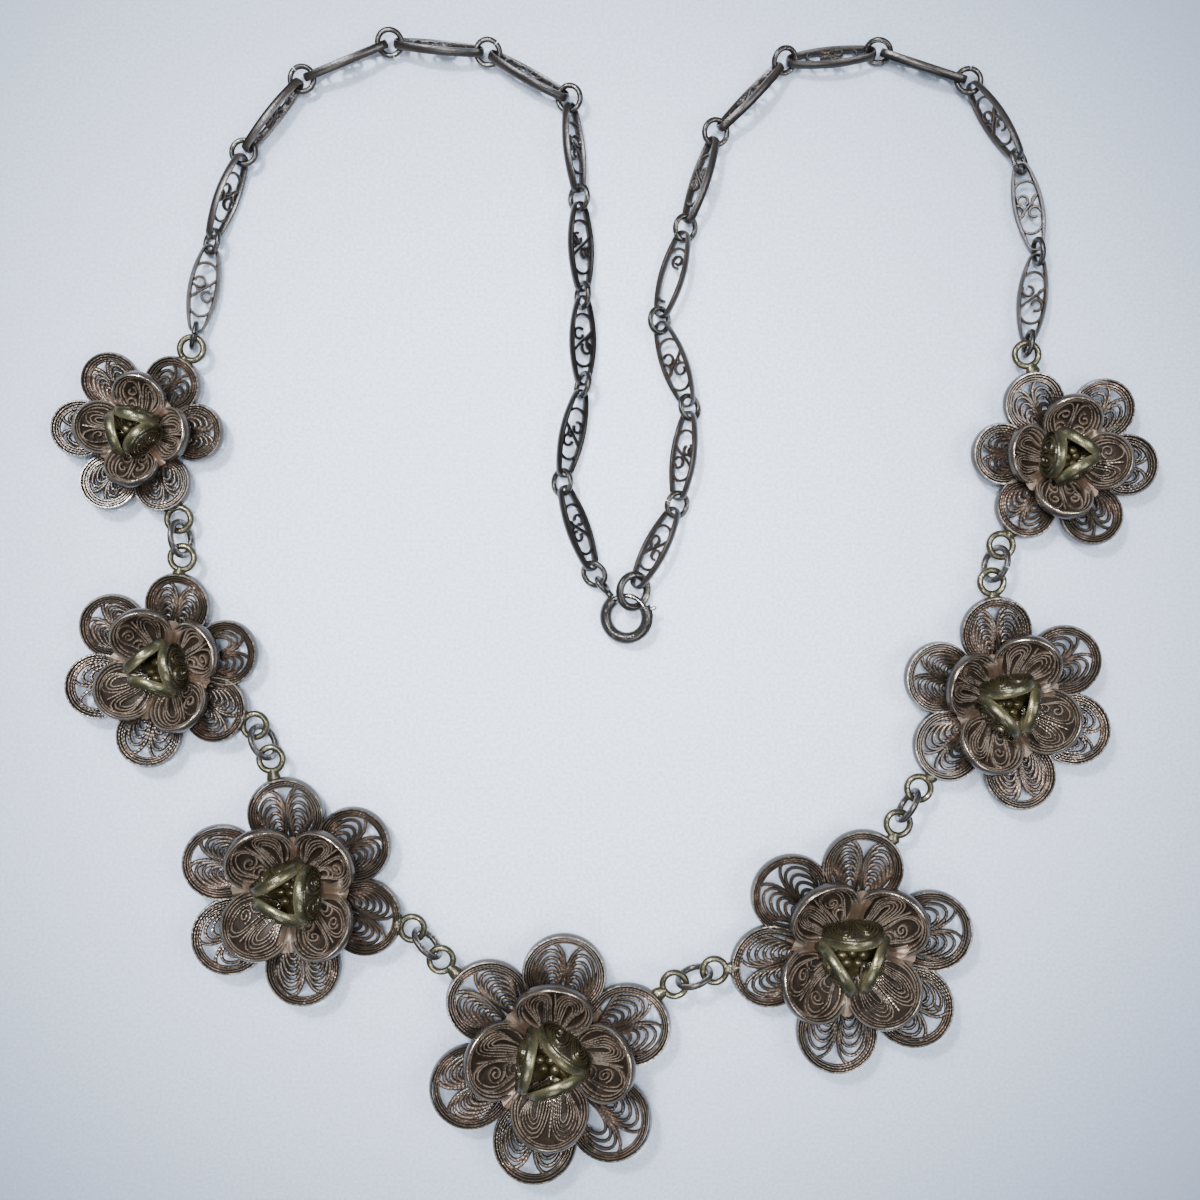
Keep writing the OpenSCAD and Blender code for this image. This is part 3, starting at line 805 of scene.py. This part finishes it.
for index, (before, after) in enumerate(zip(FLOWERS, FLOWERS[1:])):
    start, end = loop_middle(before, 1), loop_middle(after, 0)
    radius, lean = (RING_D - RING_WIRE) / 2, RING_LEANS[index]
    foot = radius * sin(radians(lean)) + RING_WIRE / 2 + TABLE_GAP
    height = max((loop_height(before) + loop_height(after)) / 2 - RING_SAG, foot)
    turn = degrees(atan2(end[1] - start[1], end[0] - start[0])) - 90
    ring = draw_wires([cut_ring(radius, RING_WIRE, 1.2 + index)], RING_SILVER, ROUND, 4)
    lay(ring, [bed((*(start + end) / 2, height), turn, lean)])
    piece = soldered("flower_jump_ring_%d" % (index + 1), [ring])
    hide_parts("flower_ring_%d" % (index + 1))
    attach(piece, "necklace")


# The twenty-two links of the two chains: flat wire bent on edge to a boat, with scrolls of finer
# wire soldered inside. They are darker than the flowers, and brown dirt sits in their corners.
LINK_LEN = 10.2
LINK_W = 3.4
LINK_END_R = 0.98
LINK_T = 0.32
LINK_H = 0.9
LINK_Z = 1.35
LINK_BELLY_T = 0.52
CURL_T = 0.32
CURL_H = 0.55
CATCH_CLEAR = 0.5
BROKEN_LINK = 4
LINK_SEED = 7
# x, y, z of each jump ring, how it leans, where its high side lies, and the next link's roll
LEFT_CHAIN = [
    (-45.9, 30.5, 1.65, 75, 350, 20), (-44.0, 41.1, 1.35, 45, 350, 65),
    (-40.3, 51.0, 1.8, 0, 130, 90), (-33.8, 59.2, 1.75, 10, 75, 115),
    (-24.0, 63.3, 1.7, 25, 95, 125), (-13.0, 62.2, 1.7, 30, 75, 125),
    (-3.9, 57.0, 1.9, 25, 30, 125), (-2.8, 46.0, 1.5, 45, 5, 140),
    (-2.4, 35.0, 1.65, 60, 0, 145), (-2.4, 25.0, 1.55, 60, 345, 140),
    (-4.7, 14.1, 1.35, 45, 0, 135), (-1.1, 3.8, 1.35, 35, 40, 0),
]
RIGHT_CHAIN = [
    (3.3, 1.9, 1.75, 34, 167, -40), (8.2, 11.6, 1.3, 35, 160, -40),
    (9.6, 22.5, 1.35, 40, 190, -30), (6.2, 32.2, 1.6, 40, 175, -35),
    (9.1, 42.6, 1.5, 35, 155, -60), (12.5, 53.2, 1.85, 20, 145, -65),
    (20.2, 61.2, 1.9, 40, 130, -40), (30.7, 62.3, 1.7, 50, 70, -65),
    (40.8, 59.0, 1.8, 0, 200, 65), (46.6, 50.1, 1.3, 45, 195, 15),
    (48.6, 39.9, 1.7, 85, 5, 5), (47.5, 29.6, 1.75, 90, 348, 0),
]

# Flat silver wire of the links: gunmetal grey, with a thin bright line along each rubbed edge, both
# wear and a painted highlight.
LINK_SILVER = silver("gunmetal_silver_strip", "#8b8580", "#322e2b", "#3e3631", "#141211", 0.28,
                     wear_and_highlight=0.26, patch=2.0, mottle=0.5, worn_and_highlit_both_edges=True)
# Finer wire of the links' scrolls: brown with dirt, dull.
CURL_SILVER = silver("dirty_silver_curl", "#857d73", "#302c27", "#40362e", "#131110", 0.3, wear_and_highlight=0.2,
                     warmth=0.7, patch=1.5)


def link_core():
    """Half the length and width of a link's pointed core, and the radius of its bowed sides."""
    core_x, core_y = LINK_LEN / 2 - LINK_END_R, LINK_W / 2 - LINK_END_R
    return core_x, core_y, (core_x ** 2 + core_y ** 2) / (2 * core_y)


def boat(margin):
    """The outline of a link's frame, out from its pointed core by a margin."""
    core_x, core_y, bow_r = link_core()
    corner = atan2(bow_r - core_y, core_x)
    end = circle(margin, 13, (core_x, 0), -corner, corner)
    side = circle(bow_r + margin, 15, (0, core_y - bow_r), corner, pi - corner)[1:-1]
    half = np.concatenate([end, side])
    return np.concatenate([half, -half])


def link_curls(rng, whole, clear):
    """Wires inside a link: bows from wall to wall near each end, and in the middle an S with curls.
    The bow at the link's first end stands back by clear. A link that isn't whole has lost most."""
    _, core_y, bow_r = link_core()

    def wall(x):
        return core_y - bow_r + sqrt((bow_r + LINK_END_R - LINK_T / 2) ** 2 - x * x)

    t = np.linspace(-1, 1, 15)
    across, bulge = np.sin(pi / 2 * t), np.cos(pi / 2 * t)
    bows = []
    for end in (-1, 1):
        foot, crown = 1.5 + rng.uniform(-0.15, 0.15), 1.42 + rng.uniform(-0.1, 0.15)
        crown -= clear if end < 0 else 0
        bows.append(np.column_stack([end * (foot + crown * bulge), (wall(foot) - 0.12) * across]))
    flip = rng.choice([-1, 1])
    if not whole:
        return [bows[1], bows[0][7:], spiral((1.5, -0.35), 0.3, 0.8, 2.4, 1.15, 20)]
    curls = bows + [np.column_stack([1.9 * t, flip * wall(1.7) * across])]
    for side in (-1, 1):
        at = (side * rng.uniform(0.65, 0.85), -side * flip * 0.52)
        curls.append(spiral(at, 0.5, rng.uniform(0.62, 0.7), rng.uniform(0, 6), flip * 0.85, 18))
        if rng.random() < 0.75:
            x, size = -side * rng.uniform(0.2, 0.6), rng.uniform(0.6, 0.8)
            at, start = (x, side * (wall(x) - 0.3)), -3.1 if side > 0 else 0.05
            curls.append(spiral(at, 0.9 * size, size, start, 0.5, 12))
    return curls


def make_link(name, chain, number, rng):
    """One link, from the middle of one ring to the middle of the next."""
    here, there = np.array(chain[number - 1][:2]), np.array(chain[number][:2])
    roll = chain[number - 1][5]
    r = radians(roll)
    height = max(LINK_Z, LINK_W / 2 * abs(sin(r)) + LINK_H / 2 * abs(cos(r)) + TABLE_GAP)
    turn = degrees(atan2(there[1] - here[1], there[0] - here[0]))
    core, rim = boat(0), boat(1)
    belly = np.clip(2.2 * (1 - 2 * np.abs(rim[:, 0]) / LINK_LEN), 0, 1)
    strip = LINK_T + (LINK_BELLY_T - LINK_T) * belly
    middle_line = core + (rim - core) * (LINK_END_R - strip / 2)[:, None]
    frame_wire = Wire(middle_line, strip, LINK_H, 0, True)
    right = chain is RIGHT_CHAIN
    clear = CATCH_CLEAR if right and number == 1 else 0  # room for the thick catch ring
    lines = link_curls(rng, not right or number != BROKEN_LINK, clear)
    curls = [Wire(line, CURL_T, CURL_H, rng.uniform(-0.05, 0.05)) for line in lines]
    meshes = [draw_wires([frame_wire], LINK_SILVER), draw_wires(curls, CURL_SILVER)]
    for mesh in meshes:
        lay(mesh, [bed((*(here + there) / 2, height), turn, 0, roll)])
    piece = soldered("%s_link_%d_openwork" % (name, number), meshes)
    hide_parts("%s_link_%d" % (name, number))
    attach(piece, "necklace")


rng = np.random.default_rng(LINK_SEED)
for name, chain in (("left", LEFT_CHAIN), ("right", RIGHT_CHAIN)):
    for number in range(1, len(chain)):
        make_link(name, chain, number, rng)


# The jump rings between the links: round silver wire gone dark, cut from a coil and closed by hand
# without solder, like those between the flowers.
CHAIN_RING_D = 3.32
CHAIN_RING_WIRE = 0.62

# Round dark silver wire of the chain's rings: gunmetal grey with bright crowns, worn and painted
# lighter as a highlight.
DARK_RING = silver("gunmetal_ring_silver", "#a9a59d", "#282623", "#322d27", "#0f0e0d", 0.26,
                   wear_and_highlight=0.28, patch=1.4)


def ring_beds(rows):
    return [bed(row[:3], row[4], row[3]) for row in rows]


for name, rows in (("left", LEFT_CHAIN), ("right", RIGHT_CHAIN[1:])):
    rings = [cut_ring((CHAIN_RING_D - CHAIN_RING_WIRE) / 2, CHAIN_RING_WIRE, 2.4 * i, i)
             for i in range(len(rows))]
    mesh = draw_wires(rings, DARK_RING, ROUND, 4)
    lay(mesh, ring_beds(rows))
    piece = soldered("%s_chain_jump_rings" % name, [mesh])
    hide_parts("%s_chain_rings" % name)
    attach(piece, "necklace")


# The spring ring of the clasp: a hollow tube bent to a ring, with a slot for the bolt's knob, and
# an eye soldered on its end. It is cast and drawn silver gone black, pitted all over.
CLASP_D = 6.1
TUBE_D = 1.33
BORE_D = 0.74
TUBE_R = (CLASP_D - TUBE_D) / 2
CLASP_AT = (2.5, -1.0, 1.6)
CLASP_LEAN = 15
CLASP_HIGH = 20
# Along the tube, directions from the clasp's middle
TUBE_END = 123
TUBE_MOUTH = 389
SOCKET_END = 134
CHAMBER_END = 203
SLOT_FROM = 285
SLOT_TO = 386
SLOT_W = 0.6
EYE_AT = 127.5
EYE_OUT = 4.5
EYE_R = 0.9
EYE_WIRE = 0.6
NECK_WIRE = (0.85, 0.75, 0.72, 0.75)
PIT = 0.3
PIT_DEPTH = 0.05

# Blackened, pitted silver of the clasp's tube: nearly black, with smooth spots left bright between
# small dark hollows. Its lighter worn flecks are wear and a painted highlight.
TUBE_SILVER = silver("pitted_black_silver", "#b4b2ad", "#2e2c29", "#2e2c29", "#100f0e", 0.2,
                     wear_and_highlight=0.24, patch=1.6, mottle=0.55)
tree = TUBE_SILVER.node_tree
normal = tree.nodes["Principled BSDF"].inputs["Normal"]
place = add(tree, "ShaderNodeTexCoord").outputs["Object"]
pits = add(tree, "ShaderNodeTexVoronoi", {"Vector": place, "Scale": 1 / (PIT * MM)})
hollow = add(tree, "ShaderNodeMapRange", {"Value": pits.outputs["Distance"], "From Max": 0.45})
relief = add(tree, "ShaderNodeBump", {"Height": hollow, "Strength": 0.6, "Distance": PIT_DEPTH * MM,
                                      "Normal": normal.links[0].from_socket})
tree.links.new(relief.outputs[0], normal)


def sweep_arc(start, end, diameter, metal, sides, scale=1.0):
    """Round bar bent about the clasp's middle, from one direction to another, in degrees."""
    steps = max(6, int((end - start) / 4))
    line = circle(TUBE_R, steps, (0, 0), radians(start), radians(end))
    return draw_wires([Wire(line * scale, diameter * scale)], metal, ROUND, sides)


def cut(mesh, cutters):
    """Cuts solids out of a mesh, one after another."""
    body, tools = placed("body", mesh), []
    for number, cutter in enumerate(cutters):
        tool = placed("cutter", cutter)
        step = body.modifiers.new("cut_%d" % number, "BOOLEAN")
        step.operation, step.solver, step.object = "DIFFERENCE", "EXACT", tool
        tools.append(tool)
    done = plain_mesh(body)
    for thing in [body] + tools:
        data = thing.data
        bpy.data.objects.remove(thing)
        bpy.data.meshes.remove(data)
    return done


def clasp_bed(p):
    """Where the clasp lies: leant up towards its high side, without being turned itself."""
    return bed(CLASP_AT, CLASP_HIGH, CLASP_LEAN)(bed((0, 0, 0), -CLASP_HIGH)(p))


# The cuts are made a hundred times too large, because Blender's solver rounds off tiny shapes, and
# run past the tube's ends.
GROW = 100.0
PAST = 5
tube = sweep_arc(TUBE_END, TUBE_MOUTH, TUBE_D, TUBE_SILVER, 8, GROW)
bore = sweep_arc(CHAMBER_END, TUBE_MOUTH + PAST, BORE_D, TUBE_SILVER, 5, GROW)
socket = sweep_arc(TUBE_END - PAST, SOCKET_END, BORE_D, TUBE_SILVER, 5, GROW)
slot_line = circle(TUBE_R + TUBE_D / 2, 26, (0, 0), radians(SLOT_FROM), radians(SLOT_TO))
slot = draw_wires([Wire(slot_line * GROW, TUBE_D * GROW, SLOT_W * GROW)], TUBE_SILVER, 0.02, 1)
tube = cut(tube, [bore, socket, slot])
set_corners(tube, corners(tube) / GROW)
eye = draw_wires([Wire(circle(EYE_R, 28), EYE_WIRE, closed=True)], TUBE_SILVER, ROUND, 4)
a = radians(EYE_AT)
upright = bed((EYE_OUT * cos(a), EYE_OUT * sin(a), 0), EYE_AT, 0, 90)
neck_line = np.array([(TUBE_R + 0.45 + 0.25 * i, 0) for i in range(len(NECK_WIRE))])
neck = draw_wires([Wire(neck_line, NECK_WIRE)], TUBE_SILVER, ROUND, 3)
for mesh, place in ((eye, upright), (neck, bed((0, 0, 0), EYE_AT))):
    set_corners(mesh, place(corners(mesh) / MM) * MM)
for mesh in (tube, eye, neck):
    lay(mesh, [clasp_bed])
piece = soldered("clasp_tube_and_eye", [tube, eye, neck])
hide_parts("clasp_tube")
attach(piece, "necklace")


# The clasp's bolt: a bent rod of harder, brighter silver that slides in the tube, with a knob for
# the fingernail soldered to it through the slot.
BOLT_D = 0.56
BOLT_TAIL = -12
BOLT_TIP = 130
KNOB_AT = 18
KNOB_D = 0.44
KNOB_OUT = 0.55
# The knob swells from its neck and is rounded at its end.
KNOB_RUN = np.array([0.0, 0.5, 0.8, 0.92, 1.0])
KNOB_SWELL = np.array([0.9, 0.9, 1.0, 1.0, 0.6])

# Drawn silver of the bolt, kept polished by the tube: grey with a sharp gleam, real shine and a
# painted highlight in the lighter colour of its worn crown.
BOLT_SILVER = silver("polished_bolt_silver", "#dcdad5", "#5b5853", "#5f5950", "#24221f", 0.16,
                     wear_and_highlight=0.42, patch=1.2, bare=0.9, mottle=0.4)
rod = sweep_arc(BOLT_TAIL, BOLT_TIP, BOLT_D, BOLT_SILVER, 4)
knob_reach = TUBE_D / 2 + KNOB_OUT
knob_line = np.column_stack([KNOB_RUN * knob_reach + TUBE_R, 0 * KNOB_RUN])
knob = draw_wires([Wire(knob_line, KNOB_SWELL * KNOB_D)], BOLT_SILVER, ROUND, 4)
set_corners(knob, bed((0, 0, 0), KNOB_AT)(corners(knob) / MM) * MM)
for mesh in (rod, knob):
    lay(mesh, [clasp_bed])
piece = soldered("clasp_bolt_and_knob", [rod, knob])
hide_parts("clasp_bolt")
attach(piece, "bolt")


# The large ring at the chain's other end, which the clasp hooks: thick round silver wire gone dark,
# bent to a ring by hand and left with a wide seam.
CATCH_D = 4.6
CATCH_WIRE = 0.9
ring = cut_ring((CATCH_D - CATCH_WIRE) / 2, CATCH_WIRE, 2.2)
catch = draw_wires([ring], DARK_RING, ROUND, 5)
lay(catch, ring_beds(RIGHT_CHAIN[:1]))
piece = soldered("catch_ring_wire", [catch])
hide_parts("catch_ring")
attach(piece, "necklace")


# The table, the room's light and the camera: a white laminate top under lamps and windows, seen
# from straight above.
TABLE_HALF = 3000
TABLE_DROP = 0.02
TABLE_GRAIN = 0.35
LIT_AT = (-5 * MM, 1 * MM, 0)
LIT_FROM = 12
LIT_TO = 122
# White laminate with a fine print, bluish white in the daylight. It greys away from the necklace's
# middle, which stands for the soft fall of the room's light.
laminate = bpy.data.materials.new("white_laminate")
laminate.use_nodes = True
tree = laminate.node_tree
place = add(tree, "ShaderNodeTexCoord").outputs["Object"]
grain = add(tree, "ShaderNodeTexNoise",
            {"Vector": place, "Scale": 1 / (TABLE_GRAIN * MM), "Detail": 3.0})
coarse = add(tree, "ShaderNodeMapRange", {"Value": grain, "From Min": 0.32, "From Max": 0.68})
shade = add(tree, "ShaderNodeMix",
            {"Factor": coarse, "A": linear("#c6d2ea"), "B": linear("#e6f0ff")}, data_type="RGBA")
away = add(tree, "ShaderNodeVectorMath", {0: place, 1: LIT_AT}, operation="DISTANCE")
dusk = add(tree, "ShaderNodeMapRange",
           {"Value": away.outputs["Value"], "From Min": LIT_FROM * MM, "From Max": LIT_TO * MM},
           interpolation_type="SMOOTHSTEP")
dim = add(tree, "ShaderNodeMix", {"Factor": dusk, "A": shade.outputs[2], "B": linear("#606a7e")},
          data_type="RGBA")
tree.links.new(dim.outputs[2], tree.nodes["Principled BSDF"].inputs["Base Color"])
tree.nodes["Principled BSDF"].inputs["Roughness"].default_value = 0.7
table = [(x * TABLE_HALF, y * TABLE_HALF, 0) for x, y in ((-1, -1), (1, -1), (1, 1), (-1, 1))]
floor = placed("table_top", solid("table_top", table, [(0, 1, 2, 3)], laminate))
floor.location = (0, 0, -TABLE_DROP * MM)

world = bpy.data.worlds.new("room")
bpy.context.scene.world = world
world.use_nodes = True
sky = world.node_tree.nodes["Background"].inputs
sky["Color"].default_value = linear("#aab6cc")
sky["Strength"].default_value = 0.2

# Each lamp's place and width in metres, and its power in watts: discs that face the middle
COOL_WHITE = (0.94, 0.965, 1.0)
LAMPS = {
    "overhead_lamp": ((-0.01, 0.02, 0.3), 0.06, 0.8),
    "ceiling_lamp": ((-0.13, 0.16, 0.28), 0.22, 1.2),
    "bulb": ((-0.09, 0.13, 0.26), 0.03, 1.1),
    "window": ((0.19, -0.01, 0.26), 0.18, 0.9),
    "far_window": ((-0.03, -0.22, 0.28), 0.18, 0.6),
}
for name, (place, width, power) in LAMPS.items():
    light = bpy.data.lights.new(name, "AREA")
    light.shape = "DISK"
    light.size = width
    light.energy = power
    light.color = COOL_WHITE
    lamp = placed(name, light)
    lamp.location = place
    lamp.rotation_euler = (-Vector(place)).to_track_quat("-Z", "Y").to_euler()

# The camera shows FRAME_W across at the height of the flowers' middles.
FRAME_W = 134.4
FLOWER_MIDDLE = 1.6
VIEW_HEIGHT = 155.0
SENSOR = 36
camera = placed("camera", bpy.data.cameras.new("camera"))
camera.data.sensor_width = SENSOR
camera.data.lens = SENSOR * (VIEW_HEIGHT - FLOWER_MIDDLE) / FRAME_W
camera.data.clip_start = 0.005
camera.location = (-0.48 * MM, 0.49 * MM, VIEW_HEIGHT * MM)
bpy.context.scene.camera = camera
